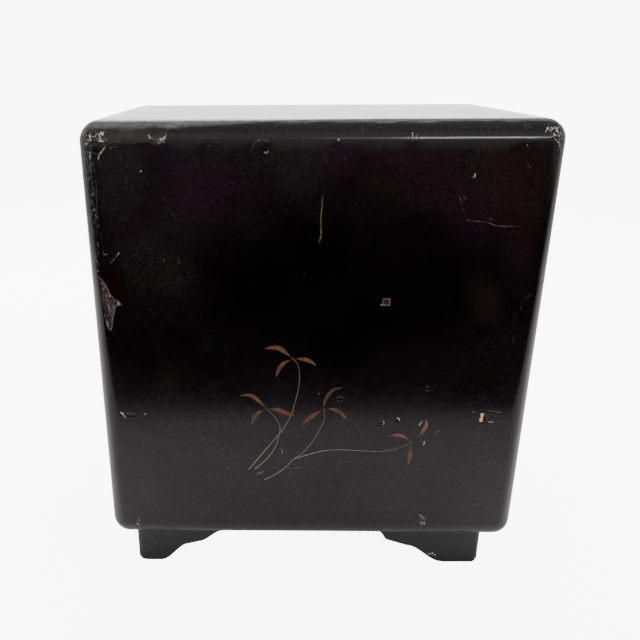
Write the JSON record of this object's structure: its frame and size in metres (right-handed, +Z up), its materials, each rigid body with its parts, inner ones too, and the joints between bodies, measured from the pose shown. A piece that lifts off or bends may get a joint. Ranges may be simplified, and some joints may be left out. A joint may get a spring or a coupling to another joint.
{
  "type": "miniature drawer chest",
  "caption": "Small lacquered wooden chest with rounded edges on a bracket base, with drawers on ring pulls and a plain back.",
  "frame": {"origin": "centre of the bounding box's footprint, on the floor under the feet", "axes": "+Z up; -Y out of the drawers' side; +Y out of the plain back; +X along the width"},
  "size_m": [0.212, 0.146, 0.235],
  "materials": {
    "black_lacquer": "black lacquer with a brown tint, glossy, worn at the edges",
    "base_lacquer": "black lacquer, duller than the case",
    "drawer_wood": "bare light wood, darkened with age",
    "peg_wood": "bare wood, end grain",
    "aged_brass": "aged, satin"
  },
  "bodies": {
    "case": {"top_board": "black_lacquer", "bottom_board": "black_lacquer", "left_side": "black_lacquer", "right_side": "black_lacquer", "back_panel": "black_lacquer", "upper_shelf": "black_lacquer", "middle_shelf": "black_lacquer", "lower_shelf": "black_lacquer", "drawer_divider": "black_lacquer", "peg_lower_left": "peg_wood", "peg_lower_right": "peg_wood", "peg_middle_left": "peg_wood", "peg_middle_right": "peg_wood", "base_front_rail": "base_lacquer", "base_back_rail": "base_lacquer", "base_left_rail": "base_lacquer", "base_right_rail": "base_lacquer"},
    "drawer_top_left": {"drawer_top_left_front": "black_lacquer", "drawer_top_left_left": "drawer_wood", "drawer_top_left_right": "drawer_wood", "drawer_top_left_back": "drawer_wood", "drawer_top_left_bottom": "drawer_wood", "drawer_top_left_pull_plate": "aged_brass", "drawer_top_left_pull_post": "aged_brass"},
    "drawer_top_left_ring": {"drawer_top_left_pull_ring": "aged_brass"},
    "drawer_top_right": {"drawer_top_right_front": "black_lacquer", "drawer_top_right_left": "drawer_wood", "drawer_top_right_right": "drawer_wood", "drawer_top_right_back": "drawer_wood", "drawer_top_right_bottom": "drawer_wood", "drawer_top_right_pull_plate": "aged_brass", "drawer_top_right_pull_post": "aged_brass"},
    "drawer_top_right_ring": {"drawer_top_right_pull_ring": "aged_brass"},
    "drawer_shallow": {"drawer_shallow_front": "black_lacquer", "drawer_shallow_left": "drawer_wood", "drawer_shallow_right": "drawer_wood", "drawer_shallow_back": "drawer_wood", "drawer_shallow_bottom": "drawer_wood", "drawer_shallow_pull_plate": "aged_brass", "drawer_shallow_pull_post": "aged_brass"},
    "drawer_shallow_ring": {"drawer_shallow_pull_ring": "aged_brass"},
    "drawer_middle": {"drawer_middle_front": "black_lacquer", "drawer_middle_left": "drawer_wood", "drawer_middle_right": "drawer_wood", "drawer_middle_back": "drawer_wood", "drawer_middle_bottom": "drawer_wood", "drawer_middle_pull_plate": "aged_brass", "drawer_middle_pull_post": "aged_brass"},
    "drawer_middle_ring": {"drawer_middle_pull_ring": "aged_brass"},
    "drawer_lower": {"drawer_lower_front": "black_lacquer", "drawer_lower_left": "drawer_wood", "drawer_lower_right": "drawer_wood", "drawer_lower_back": "drawer_wood", "drawer_lower_bottom": "drawer_wood", "drawer_lower_pull_plate": "aged_brass", "drawer_lower_pull_post": "aged_brass"},
    "drawer_lower_ring": {"drawer_lower_pull_ring": "aged_brass"}
  },
  "joints": [
    {"name": "drawer_top_left_slide", "type": "slide", "parent": "case", "child": "drawer_top_left", "axis": [0, -1, 0], "range_m": [0, 0.1]},
    {"name": "drawer_top_left_ring_hinge", "type": "hinge", "parent": "drawer_top_left", "child": "drawer_top_left_ring", "pos_m": [-0.05, -0.0708, 0.2155], "axis": [-1, 0, 0], "range_deg": [-11, 191]},
    {"name": "drawer_top_right_slide", "type": "slide", "parent": "case", "child": "drawer_top_right", "axis": [0, -1, 0], "range_m": [0, 0.1]},
    {"name": "drawer_top_right_ring_hinge", "type": "hinge", "parent": "drawer_top_right", "child": "drawer_top_right_ring", "pos_m": [0.05, -0.0708, 0.2155], "axis": [-1, 0, 0], "range_deg": [-11, 191]},
    {"name": "drawer_shallow_slide", "type": "slide", "parent": "case", "child": "drawer_shallow", "axis": [0, -1, 0], "range_m": [0, 0.1]},
    {"name": "drawer_shallow_ring_hinge", "type": "hinge", "parent": "drawer_shallow", "child": "drawer_shallow_ring", "pos_m": [0, -0.0708, 0.178], "axis": [-1, 0, 0], "range_deg": [-11, 191]},
    {"name": "drawer_middle_slide", "type": "slide", "parent": "case", "child": "drawer_middle", "axis": [0, -1, 0], "range_m": [0, 0.1]},
    {"name": "drawer_middle_ring_hinge", "type": "hinge", "parent": "drawer_middle", "child": "drawer_middle_ring", "pos_m": [0, -0.0708, 0.129], "axis": [-1, 0, 0], "range_deg": [-11, 191]},
    {"name": "drawer_lower_slide", "type": "slide", "parent": "case", "child": "drawer_lower", "axis": [0, -1, 0], "range_m": [0, 0.1]},
    {"name": "drawer_lower_ring_hinge", "type": "hinge", "parent": "drawer_lower", "child": "drawer_lower_ring", "pos_m": [0, -0.0708, 0.0655], "axis": [-1, 0, 0], "range_deg": [-11, 191]}
  ]
}
